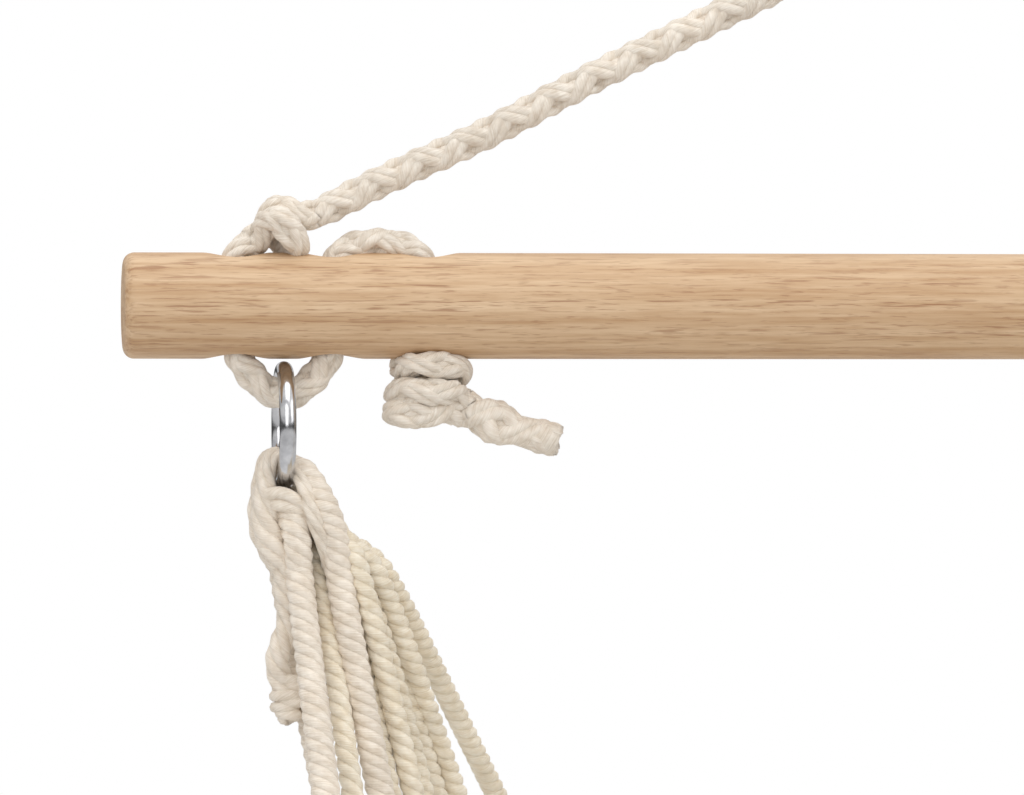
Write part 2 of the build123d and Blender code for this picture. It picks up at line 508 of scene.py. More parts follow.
class Effects:
    """The effects that several finishes use, each built once as a node group."""

    def __init__(self) -> None:
        """Builds the groups."""
        self.fibre = self._fibre()
        self.tone = self._tone()
        self.weave = self._weave()

    def _fibre(self) -> bpy.types.NodeTree:
        """Builds fine fibres that lean along a strand, seamless round it.

        Returns:
            The group.
        """
        group, r, given, out = shader_group(
            "spun_fibre", {"Fine": 5.0, "Stretch": 240.0, "Lean": 120.0, "Clumps": 260.0}, ("Height", "Shade")
        )
        place = r.node("ShaderNodeSeparateXYZ")
        r.join(r.node("ShaderNodeUVMap", uv_map="strand").outputs[0], place.inputs[0])
        along, around = place.outputs[0], place.outputs[1]
        leaning = r.sum("ADD", around, r.sum("MULTIPLY", along, given.outputs["Lean"]))
        angle = r.sum("MULTIPLY", leaning, 2 * math.pi)
        spot = r.node("ShaderNodeCombineXYZ")
        r.join(r.sum("MULTIPLY", r.sum("COSINE", angle), given.outputs["Fine"]), spot.inputs[0])
        r.join(r.sum("MULTIPLY", r.sum("SINE", angle), given.outputs["Fine"]), spot.inputs[1])
        r.join(r.sum("MULTIPLY", along, given.outputs["Stretch"]), spot.inputs[2])
        fine = r.node("ShaderNodeTexNoise", {"Scale": 1.0, "Detail": 3.0, "Roughness": 0.6})
        r.join(spot.outputs[0], fine.inputs["Vector"])
        r.join(fine.outputs[0], out.inputs["Height"])
        clumps = r.node("ShaderNodeTexNoise", {"Detail": 2.0})
        r.join(r.node("ShaderNodeTexCoord").outputs["Object"], clumps.inputs["Vector"])
        r.join(given.outputs["Clumps"], clumps.inputs["Scale"])
        # Shade: the fibres' own height, so raised fibres come out lighter and their grooves take painted shade,
        # mixed with random clumps of tone.
        mixed = r.sum("ADD", r.sum("MULTIPLY", fine.outputs[0], 0.6), r.sum("MULTIPLY", clumps.outputs[0], 0.4))
        r.join(mixed, out.inputs["Shade"])
        return group

    def _tone(self) -> bpy.types.NodeTree:
        """Builds slow unevenness of tone over a surface, such as handling and light dust.

        Returns:
            The group.
        """
        group, r, given, out = shader_group("uneven_tone", {"Scale": 20.0, "Low": 0.35, "High": 0.65}, ("Shade",))
        noise = r.node("ShaderNodeTexNoise", {"Detail": 4.0, "Roughness": 0.55})
        r.join(r.node("ShaderNodeTexCoord").outputs["Object"], noise.inputs["Vector"])
        r.join(given.outputs["Scale"], noise.inputs["Scale"])
        spread = r.node("ShaderNodeMapRange")
        r.join(noise.outputs[0], spread.inputs["Value"])
        r.join(given.outputs["Low"], spread.inputs["From Min"])
        r.join(given.outputs["High"], spread.inputs["From Max"])
        r.join(spread.outputs[0], out.inputs["Shade"])
        return group

    def _weave(self) -> bpy.types.NodeTree:
        """Builds a plain weave of round yarns, on the cloth's own map in metres.

        Returns:
            The group.
        """
        group, r, given, out = shader_group("plain_weave", {"Yarn": 0.0012}, ("Height",))
        place = r.node("ShaderNodeSeparateXYZ")
        r.join(r.node("ShaderNodeUVMap", uv_map="cloth").outputs[0], place.inputs[0])
        yarns = [r.sum("DIVIDE", place.outputs[number], given.outputs["Yarn"]) for number in (0, 1)]
        waves = [r.sum("SINE", r.sum("MULTIPLY", yarn, math.pi)) for yarn in yarns]
        over = r.sum("GREATER_THAN", r.sum("MULTIPLY", waves[0], waves[1]), 0.0)
        warp, weft = (r.sum("POWER", r.sum("ABSOLUTE", wave), 0.6) for wave in waves)
        under = r.sum("MULTIPLY", weft, r.sum("SUBTRACT", 1.0, over))
        r.join(r.sum("ADD", r.sum("MULTIPLY", warp, over), under), out.inputs["Height"])
        return group


@dataclass(frozen=True)
class CottonFinish:
    """Spun cotton: a painted lit colour for the raised fibres and a painted shade for the grooves between them, and
    how coarse they are.
    """

    name: str
    slot: str
    light: tuple
    deep: tuple
    fine: float
    lean: float
    bump: float
    handling: float = 0.10

    def material(self, effects: Effects) -> bpy.types.Material:
        """Builds the finish.

        Args:
            effects: The shared effects.

        Returns:
            The material.
        """
        made, r = new_material(self.name)
        fibre = r.node("ShaderNodeGroup", {"Fine": self.fine, "Lean": self.lean}, node_tree=effects.fibre)
        tone = r.node("ShaderNodeGroup", {"Scale": 60.0}, node_tree=effects.tone)
        tone_colour = r.node("ShaderNodeCombineColor")
        r.fill(tone_colour, {channel: tone.outputs["Shade"] for channel in range(3)})
        # The fibres' height picks the colour: light is painted on the raised fibres and deep is painted shade in
        # their grooves; the clumps add random tone.
        colour = r.blend(r.spread(fibre.outputs["Shade"], 0.32, 0.62), self.deep, self.light)
        shaded = r.node("ShaderNodeMix", data_type="RGBA", blend_type="MULTIPLY")
        r.fill(shaded, {0: self.handling, 6: colour, 7: tone_colour.outputs[0]})
        relief = {"Strength": self.bump, "Distance": 0.0006}
        gloss = {"Roughness": 0.92, "Sheen Weight": 0.25, "Sheen Roughness": 0.5, "Specular IOR Level": 0.2}
        r.surface(shaded.outputs[2], fibre.outputs["Height"], relief, gloss)
        return made


@dataclass(frozen=True)
class CanvasFinish:
    """Heavy natural cotton canvas with a plain weave."""

    name: str = "natural_canvas"
    slot: str = "canvas"
    # light is painted on the raised yarns and deep is painted shade in the hollows of the weave; slubs and slow tone
    # also mix them, as the cloth's own unevenness.
    light: tuple = paint(236, 226, 208)
    deep: tuple = paint(204, 190, 166)

    def material(self, effects: Effects) -> bpy.types.Material:
        """Builds the finish.

        Args:
            effects: The shared effects.

        Returns:
            The material.
        """
        made, r = new_material(self.name)
        weave = r.node("ShaderNodeGroup", node_tree=effects.weave)
        tone = r.node("ShaderNodeGroup", {"Scale": 30.0}, node_tree=effects.tone)
        slub = r.streaks(r.node("ShaderNodeUVMap", uv_map="cloth").outputs[0], (40.0, 900.0, 1.0), 2.0)
        # The weave's height mixes in painted shade between the yarns; the slubs and the slow tone are the cloth's
        # own unevenness.
        shade = r.sum("ADD", r.sum("MULTIPLY", weave.outputs["Height"], 0.45), r.sum("MULTIPLY", slub, 0.5))
        shade = r.sum("ADD", shade, r.sum("MULTIPLY", tone.outputs["Shade"], 0.18))
        relief = {"Strength": 0.5, "Distance": 0.0005}
        gloss = {"Roughness": 0.95, "Sheen Weight": 0.2, "Specular IOR Level": 0.2}
        r.surface(r.blend(shade, self.deep, self.light), weave.outputs["Height"], relief, gloss)
        return made


@dataclass(frozen=True)
class OakFinish:
    """Pale oak under a thin satin oil, with open pores along the bar."""

    name: str = "oiled_oak"
    slot: str = "oak"
    light: tuple = paint(219, 190, 156)
    deep: tuple = paint(184, 146, 107)
    pore: tuple = paint(138, 88, 54)
    pore_depth: float = 0.58
    grain: float = 0.6

    def material(self, effects: Effects) -> bpy.types.Material:
        """Builds the finish.

        Args:
            effects: The shared effects.

        Returns:
            The material.
        """
        made, r = new_material(self.name)
        place = r.node("ShaderNodeTexCoord").outputs["Object"]
        rings = r.spread(r.streaks(place, (2.4, 60.0, 210.0), 3.0, self.grain), 0.40, 0.60)
        fine = r.spread(r.streaks(place, (30.0, 420.0, 700.0), 4.0, self.grain), 0.36, 0.64)
        tone = r.node("ShaderNodeGroup", {"Scale": 9.0}, node_tree=effects.tone)
        grain = r.sum("ADD", r.sum("MULTIPLY", rings, 0.42), r.sum("MULTIPLY", fine, 0.42))
        grain = r.sum("ADD", grain, r.sum("MULTIPLY", tone.outputs["Shade"], 0.16))
        bands = r.spread(r.streaks(place, (3.5, 70.0, 240.0), 2.0, self.grain), 0.36, 0.6)
        long_pores = r.spread(r.streaks(place, (58.0, 700.0, 1100.0), 2.0, self.grain), 0.545, 0.66)
        short_pores = r.spread(r.streaks(place, (115.0, 900.0, 1350.0), 2.0, self.grain), 0.585, 0.69)
        pores = r.sum("MAXIMUM", r.sum("MULTIPLY", long_pores, bands), r.sum("MULTIPLY", short_pores, 0.62))
        wood = r.blend(grain, self.deep, self.light)
        colour = r.blend(r.sum("MULTIPLY", pores, self.pore_depth), wood, self.pore)
        height = r.sum("SUBTRACT", r.sum("MULTIPLY", fine, 0.25), pores)
        relief = {"Strength": 0.35, "Distance": 0.0003}
        shader = r.surface(colour, height, relief, {"Specular IOR Level": 0.35})
        r.join(r.sum("ADD", 0.42, r.sum("MULTIPLY", fine, 0.16)), shader.inputs["Roughness"])
        return made


@dataclass(frozen=True)
class SteelFinish:
    """Polished plated steel with faint drawing marks and a little dulling."""

    name: str = "polished_steel"
    slot: str = "polished_steel"
    bright: tuple = paint(212, 212, 214)
    dull: tuple = paint(182, 182, 185)

    def material(self, effects: Effects) -> bpy.types.Material:
        """Builds the finish.

        Args:
            effects: The shared effects.

        Returns:
            The material.
        """
        made, r = new_material(self.name)
        tone = r.node("ShaderNodeGroup", {"Scale": 220.0}, node_tree=effects.tone)
        marks = r.streaks(r.node("ShaderNodeTexCoord").outputs["Object"], (3200.0, 260.0, 260.0), 2.0)
        colour = r.blend(tone.outputs["Shade"], self.dull, self.bright)
        shader = r.surface(colour, marks, {"Strength": 0.04, "Distance": 0.0001}, {"Metallic": 1.0})
        r.join(r.sum("ADD", 0.1, r.sum("MULTIPLY", tone.outputs["Shade"], 0.07)), shader.inputs["Roughness"])
        return made


@dataclass
class Finishes:
    """Every finish of the chair, as a material, with the slot that it stands in."""

    effects: Effects = field(default_factory=Effects)

    def __post_init__(self) -> None:
        """Builds the materials."""
        finishes = (
            # Each cotton's first colour is painted light on its raised fibres and its second is painted shade in the
            # grooves.
            CottonFinish(
                "plaited_cotton", "plaited_rope", paint(250, 241, 228), paint(216, 200, 180), 4.5, 90.0, 0.75
            ),
            CottonFinish("pale_cotton", "pale_cord", paint(250, 240, 226), paint(220, 204, 183), 5.0, 60.0, 0.7),
            CottonFinish("tan_cotton", "tan_cord", paint(253, 244, 226), paint(228, 211, 181), 4.5, 60.0, 0.7),
            CanvasFinish(), OakFinish(), SteelFinish(),
        )
        self.slots = {finish.slot: finish.material(self.effects) for finish in finishes}

    def dress(self, piece: bpy.types.Object, slot: str) -> bpy.types.Object:
        """Gives a piece the finish of a slot.

        Args:
            piece: A new piece or a CAD node.
            slot: The slot's name.

        Returns:
            The piece.
        """
        piece.data.materials.clear()
        piece.data.materials.append(self.slots[slot])
        piece.data.polygons.foreach_set("material_index", np.zeros(len(piece.data.polygons), np.int32))
        return piece


def settle(piece: bpy.types.Object, body: str, nodes: Sequence[str]) -> bpy.types.Object:
    """Puts a finished piece on its body, in the place of the CAD nodes that it stands for.

    Args:
        piece: The piece.
        body: The body that it rides on.
        nodes: The CAD nodes that it stands for.

    Returns:
        The piece.
    """
    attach(piece, body)
    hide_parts(*nodes)
    log.info("%s: %d faces on %s, for %s", piece.name, len(piece.data.polygons), body, ", ".join(nodes))
    return piece


def strung(
    finishes: Finishes, name: str, strands: Iterable[Strand], slot: str, body: str, node: str
) -> bpy.types.Object:
    """Makes a piece of strands, with its finish, in the place of its CAD node.

    Args:
        finishes: The chair's finishes.
        name: The piece's name.
        strands: The strands.
        slot: The slot of its finish.
        body: The body that it rides on.
        node: The CAD node that it stands for.

    Returns:
        The piece.
    """
    return settle(finishes.dress(strand_piece(name, strands), slot), body, [node])


# ---- the plaited rope ------------------------------------------------------------------------------------
@dataclass
class RopeSide:
    """One side of the plaited rope, from the top knot through the bar to its cut tail. Sizes in millimetres."""

    side: Side
    finishes: Finishes
    plait: Plait = Plait()
    tail_share: float = 0.38

    def route(self) -> list[Vector]:
        """Lays out the rope's route: leg, bar knot, hole, ring loop, arch, stopper knot and tail.

        Returns:
            The route's points, in metres.
        """
        out, up = BAR_KNOT[0], BAR_Z + BAR_KNOT[1]
        first, second, third = HOLE_X
        knot = [
            (-42.2, 0.0, 17.6), (-22.4, 0.0, 7.8), (-12.5, -0.5, 2.2), (-5.0, -2.0, 1.8), (0.6, -1.0, 4.6),
            (5.0, 2.0, 4.0), (4.6, 7.0, -2.6), (-0.8, 7.0, -8.0), (-5.6, 1.5, -9.4), (-5.0, -6.8, -7.6),
            (-1.0, -9.0, -2.6), (2.4, -7.8, 1.6), (5.2, -3.4, -0.8), (8.4, 0.0, -6.0),
        ]
        bar = [
            (first, 0.0, 18.6), (first, 0.0, 4.0), (first, 0.0, -10.0), (first - 0.8, 0.0, -19.0),
            (first - 7.5, 0.0, -27.4), (RING_X + 3.4, 0.0, -31.8), (RING_X - 3.4, 0.0, -31.8),
            (second + 7.5, 0.0, -27.4), (second + 0.8, 0.0, -19.0), (second, 0.0, -10.0),
            (second, 0.0, 8.0), (second - 3.5, 0.0, 22.6), (third + 3.5, 0.0, 22.6), (third, 0.0, 8.0),
            (third, 0.0, -10.0),
        ]
        stopper = [
            (0.0, 1.0, -20.0), (5.0, 6.0, -23.0), (9.8, 3.0, -22.5), (6.2, -8.5, -20.8), (-5.0, -10.0, -21.0),
            (-12.6, -3.5, -22.6), (-10.5, 6.5, -27.5), (0.0, 9.5, -30.0), (9.0, 6.0, -31.5), (11.2, -3.0, -30.8),
            (4.0, -10.0, -30.6), (-8.0, -10.0, -31.0), (-12.6, -1.0, -34.0), (-5.0, 5.5, -37.5),
            (7.0, 4.0, -38.4), (12.0, -2.5, -38.2), (6.5, -8.0, -38.4), (-2.0, -7.0, -38.6), (-9.0, -3.0, -36.0),
            (-14.5, 0.0, -36.6), (-20.5, 0.0, -39.6), (-28.0, 0.0, -43.0), (-38.0, 0.0, -46.0), (-47.4, 0.0, -48.2),
        ]
        leg = [
            (12.0, 0.0, -5.8), (150.0, 0.0, -73.4), (300.0, 0.0, -147.0), (336.0, 0.0, -164.6),
            (370.0, 0.0, -183.2),
        ]
        return (
            [self.side.at(x, y, TOP_KNOT_Z + z) for x, y, z in leg]
            + [self.side.at(out + x, y, up + z) for x, y, z in knot]
            + [self.side.at(x, y, BAR_Z + z) for x, y, z in bar]
            + [self.side.at(third + x, y, BAR_Z + z) for x, y, z in stopper]
        )

    def felted_end(self, tail: Line) -> Strand:
        """Builds the cut end's loose fibres, which fill the grooves between the strands towards the cut.

        Args:
            tail: The tail's middle line.

        Returns:
            The fibres, as one thick strand.
        """
        start = int(len(tail.points) * self.tail_share)
        end = tail.part(start, len(tail.points) - 1)
        radius = np.interp(np.linspace(0, 1, len(end.points)), [0, 0.35, 0.9, 1], [3.4, 5.5, 6.0, 5.8]) * MM
        return Strand(end.points, radius, end.front, end.reach)

    def build(self) -> list[bpy.types.Object]:
        """Builds the rope's five pieces.

        Returns:
            The pieces, from the leg to the tail.
        """
        line = Line.through(self.route(), ROPE_STEP * MM)
        first, _, third = HOLE_X
        knot_in = line.nearest(self.side.at(BAR_KNOT[0] - 11.0, 0.0, BAR_Z + BAR_KNOT[1] + 5.5))
        knot_out = line.nearest(self.side.at(first - 6.0, 0.0, BAR_Z + 22.0), knot_in + 40)
        loop = line.nearest(self.side.at(RING_X, 0.0, BAR_Z - 31.6), knot_out)
        stop_in = line.nearest(self.side.at(third, 0.0, BAR_Z - 15.0), loop)
        tail_in = line.nearest(self.side.at(third - 13.5, 0.0, BAR_Z - 37.0), stop_in + 120)
        last = len(line.points) - 1
        stops = (
            (0, 1.0), (knot_in - 14, 1.0), (knot_in + 6, 0.92), (knot_out - 6, 0.94), (knot_out + 14, 1.08),
            (loop - 26, 0.96), (loop, 0.97), (loop + 26, 0.96), (loop + 60, 0.92), (stop_in - 8, 0.9),
            (stop_in + 12, 0.84), (tail_in - 12, 0.96), (tail_in, 1.3), (tail_in + 14, 1.4),
            (tail_in + 24, 1.12), (last, 1.06),
        )
        swell = np.interp(np.arange(last + 1), [at for at, _ in stops], [share for _, share in stops])
        cuts = {
            "suspension_rope": (0, knot_in), "bar_knot": (knot_in, knot_out), "ring_rope": (knot_out, stop_in),
            "stopper_knot": (stop_in, tail_in), "rope_tail": (tail_in, last),
        }
        pieces = []
        for node, (start, end) in cuts.items():
            part = line.part(start, end)
            strands = self.plait.strands(part, swell[start:end + 1])
            if node == "rope_tail":
                strands.append(self.felted_end(part))
            name = f"{self.side.label}_{node}"
            pieces.append(strung(self.finishes, f"{name}_plait", strands, "plaited_rope", "bar", name))
        leg = line.part(0, knot_in)
        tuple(leg.points[0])
        leg.length
        return pieces


@dataclass
class TopKnot:
    """The rope's eye over the hanging ring, and the knot that closes it. Sizes in millimetres."""

    finishes: Finishes
    plait: Plait = Plait()
    eye_radius: float = 9.4
    eye_top: float = -54.0
    eye_share: float = 0.94
    coil_radius: float = 9.8
    coil_share: float = 0.86
    coil_points: int = 26
    coil_foot: float = -9.0
    coil_height: float = 18.0

    def build(self) -> list[bpy.types.Object]:
        """Builds the eye and the knot.

        Returns:
            The two pieces.
        """
        wide, over = self.eye_radius, self.eye_top
        rising = [
            (-6.0, 0.0, TOP_KNOT_Z + 2.0), (-wide, 0.0, TOP_KNOT_Z + 13.0), (-wide - 0.4, 0.0, over - 3.0),
            (-wide, 0.0, over + 8.5),
        ]
        eye = rising + [(0.0, 0.0, over + 10.6)] + [(-x, y, z) for x, y, z in reversed(rising)]
        line = Line.through([Vector(spot) * MM for spot in eye], ROPE_STEP * MM)
        strands = self.plait.strands(line, steady(line, self.eye_share))
        eye_piece = strung(self.finishes, "rope_eye_plait", strands, "plaited_rope", "bar", "rope_eye")
        coil = [Vector((-2.0, 3.0, TOP_KNOT_Z - 7.0)) * MM]
        last = self.coil_points - 1
        for number in range(self.coil_points):
            angle = math.pi * 0.5 + number * math.pi / 4
            rise = TOP_KNOT_Z + self.coil_foot + self.coil_height * number / last
            spread = self.coil_radius * (1.0 if 4 < number < last - 4 else self.coil_share)
            coil.append(Vector((math.cos(angle) * spread, math.sin(angle) * spread, rise)) * MM)
        coil.append(Vector((3.0, -1.0, TOP_KNOT_Z + 8.0)) * MM)
        line = Line.through(coil, ROPE_STEP * MM, facing=(0.0, 0.0, 1.0))
        strands = self.plait.strands(line, steady(line, self.coil_share))
        return [eye_piece, strung(self.finishes, "top_knot_plait", strands, "plaited_rope", "bar", "top_knot")]


# ---- hitch and clew cords -----------------------------------------------------------------------------------
class Shade(Enum):
    """The two cottons that the cords are made of: lay, slot, diameter, and share of it in an edge knot."""

    PALE = (Twist(4, 10.5, 18.5, 1.14), "pale_cord", 8.4, 0.52)
    TAN = (Twist(3, 8.5, 16.6, 1.16), "tan_cord", 7.0, 0.62)

    @property
    def twist(self) -> Twist:
        """How the cord is laid."""
        return self.value[0]

    @property
    def slot(self) -> str:
        """The slot of the cord's finish."""
        return self.value[1]

    @property
    def diameter(self) -> float:
        """The cord's diameter, in millimetres."""
        return self.value[2]

    @property
    def knotted(self) -> float:
        """The cord's thickness where it is knotted, as a share of its usual one."""
        return self.value[3]


@dataclass(frozen=True)
class ClewCord:
    """One cord of the fan. Sizes in millimetres; the inset is from the ring's centre to the chair's middle.

    The rise is where it runs inside the hitch, and the nudges bring it inwards below the hitch.
    """

    number: int
    inset: float
    row: float
    shade: Shade
    share: float
    rise: tuple
    nudges: tuple


CLEW_CORDS = (
    ClewCord(
        1, 5.2, -8.5, Shade.PALE, 0.98, ((1.0, -8.0, -30.0), (3.2, -12.6, -36.0), (4.6, -11.4, -45.0)),
        (-0.6, -0.6),
    ),
    ClewCord(2, 13.2, 0.0, Shade.TAN, 0.88, ((9.5, -1.0, -43.0),), (0.0, 0.4)),
    ClewCord(3, -2.0, 8.5, Shade.PALE, 0.79, ((-1.0, 6.0, -34.0), (0.0, 9.0, -44.0)), (2.0, 3.4)),
    ClewCord(
        4, 20.2, -8.5, Shade.PALE, 0.69,
        ((1.5, -3.0, -15.0), (5.6, -8.0, -14.6), (10.8, -10.4, -22.5), (15.6, -11.2, -32.0), (18.4, -10.8, -44.0)),
        (-1.4, 0.2),
    ),
    ClewCord(5, 22.2, 0.0, Shade.TAN, 0.60, ((15.5, -1.0, -42.0),), (0.0, 0.0)),
    ClewCord(6, 29.0, -8.5, Shade.TAN, 0.50, ((17.0, -5.0, -35.0), (23.0, -9.4, -42.5)), (-1.6, 0.0)),
    ClewCord(7, 31.5, 0.0, Shade.TAN, 0.41, ((19.0, 0.0, -40.0),), (-1.5, -0.5)),
    ClewCord(8, 32.7, 8.5, Shade.TAN, 0.31, ((20.0, 6.0, -41.0),), (-1.0, 0.8)),
    ClewCord(9, 40.5, 0.0, Shade.TAN, 0.21, ((17.0, -3.0, -37.5), (26.0, -3.0, -44.0)), (-5.2, -3.2)),
    ClewCord(10, 44.0, 8.5, Shade.TAN, 0.02, ((19.0, 3.5, -39.5), (30.5, 6.5, -45.0)), (-5.4, -4.2)),
)


PLAIN_BUNDLE = 5.5
THICK_BUNDLE = 10.0


@dataclass(frozen=True)
class Bundle:
    """One bundle of the hitch's cords: its route from the ring's centre, its thickness and how that changes.

    Sizes in millimetres. The route's first number is inwards, the second to the back, the third upwards.
    """

    route: tuple
    thick: float
    swell: tuple = (1.0, 1.0, 1.0)

    @property
    def mirrored(self) -> "Bundle":
        """The same bundle behind the ring."""
        return Bundle(tuple((x, 0.4 - y, z - 0.5) for x, y, z in self.route), self.thick, self.swell)

    def strands(self, line: Line, phase: float) -> list[Strand]:
        """The bundle's strands: one for a thin bundle, and four laid ones for a thick one.

        Args:
            line: The bundle's middle line.
            phase: Where the first strand starts round it, in radians.

        Returns:
            The strands.
        """
        shares = np.linspace(0, 1, len(line.points))
        swell = np.interp(shares, np.linspace(0, 1, len(self.swell)), self.swell)
        if self.thick < PLAIN_BUNDLE:
            return [Strand(line.points, self.thick / 2 * MM * swell, line.front, line.reach)]
        lay = 40.0 if self.thick < THICK_BUNDLE else 34.0
        return Twist(4, self.thick, lay, 1.22).strands(line, swell, phase)


FRONT_BUNDLES = (
    # the loop outboard of the ring, from its nub to where it tucks in
    Bundle(
        (
            (1.0, -5.0, -13.0), (-3.4, -8.0, -8.4), (-6.9, -9.0, -13.5), (-7.2, -9.6, -22.0),
            (-7.8, -9.0, -34.0), (-4.2, -8.0, -43.0), (-0.4, -6.5, -52.0),
        ),
        11.0, (0.54, 0.6, 0.9, 1.0, 0.7),
    ),
    # the collar's three turns across the front of the ring
    Bundle(
        ((-7.0, -6.0, -22.0), (-8.2, -12.4, -24.4), (-1.7, -14.4, -22.8), (5.0, -14.0, -26.8), (9.4, -10.0, -32.0)),
        4.8,
    ),
    Bundle(((-7.5, -8.0, -26.0), (-4.6, -13.2, -27.4), (1.9, -14.0, -28.4), (9.0, -11.0, -31.8)), 4.7),
    Bundle(((-2.5, -8.5, -29.5), (1.0, -13.0, -31.3), (5.0, -13.2, -33.4), (9.5, -9.0, -35.2)), 4.7),
    # the loop on the inner side, which runs down between the pale cords
    Bundle(
        (
            (0.5, -6.0, -14.0), (4.2, -10.5, -15.0), (6.2, -13.4, -21.5), (8.8, -14.2, -30.0),
            (11.8, -13.6, -38.0), (14.6, -11.0, -45.5), (14.6, -7.0, -50.0),
        ),
        6.2, (0.8, 1.0, 1.0, 0.95, 0.6),
    ),
    Bundle(
        ((6.6, -3.0, -18.0), (11.4, -7.0, -22.5), (15.8, -8.4, -29.5), (19.4, -7.6, -36.5), (20.5, -3.0, -43.0)),
        6.8, (0.7, 1.0, 0.8),
    ),
)
MIDDLE_BUNDLES = (
    Bundle(((-3.0, 0.0, -11.0), (-7.5, 0.0, -20.0), (-8.0, 0.5, -34.0), (-3.0, 2.0, -50.0)), 9.0, (0.6, 1.0, 0.8)),
    Bundle(((2.5, 0.0, -25.5), (3.0, 0.0, -38.0), (4.0, 0.0, -50.0)), 9.0, (0.8, 1.0, 0.6)),
    Bundle(((8.0, 0.0, -16.0), (12.0, 0.0, -30.0), (14.0, 0.0, -46.0)), 9.0, (0.7, 1.0, 0.6)),
    Bundle(((13.0, 0.0, -24.0), (19.0, 0.0, -35.0), (21.5, 0.0, -46.0)), 7.6, (0.7, 1.0, 0.6)),
)


@dataclass(frozen=True)
class SeatShape:
    """The seat's edge curves and how far the cloth hangs between them. Sizes in millimetres."""

    back: tuple = (220.5, 375.0, -400.0)
    belly: tuple = (192.5, 155.0, -780.0)
    front: tuple = (67.5, -325.0, -780.0)
    back_sag: float = 190.0
    middle_sag: float = 275.0
    front_sag: float = 210.0

    def corners(self) -> list[Vector]:
        """The right side edge's back corner, belly point and front corner, in millimetres."""
        return [Vector((RING_X - x, y, BAR_Z + z)) for x, y, z in (self.back, self.belly, self.front)]

    def edge(self, share: float) -> Vector:
        """A point on the right side edge, in millimetres.

        Args:
            share: The place along the edge, from its back, 0, to its front, 1.

        Returns:
            The point.
        """
        back, belly, front = self.corners()
        return back * (1 - share) ** 2 + belly * (2 * share * (1 - share)) + front * share**2

    def edge_way(self, share: float) -> Vector:
        """The direction of the right side edge, towards the front."""
        return (self.edge(share + 0.001) - self.edge(share - 0.001)).normalized()

    def sag(self, share: float) -> float:
        """How far the middle of the cloth hangs below its edges at a share of its length."""
        bulge = 4 * self.middle_sag - 2 * (self.back_sag + self.front_sag)
        return self.back_sag * (1 - share) + self.front_sag * share + bulge * share * (1 - share)

    def cloth(self, share: float, across: float) -> Vector:
        """A point on the cloth, in millimetres.

        Args:
            share: The place along the cloth, from its back, 0, to its front, 1.
            across: The place across it, from its left edge, -1, to its right edge, 1.

        Returns:
            The point.
        """
        edge = self.edge(share)
        return Vector((edge.x * across, edge.y, edge.z - self.sag(share) * (1 - across**2)))


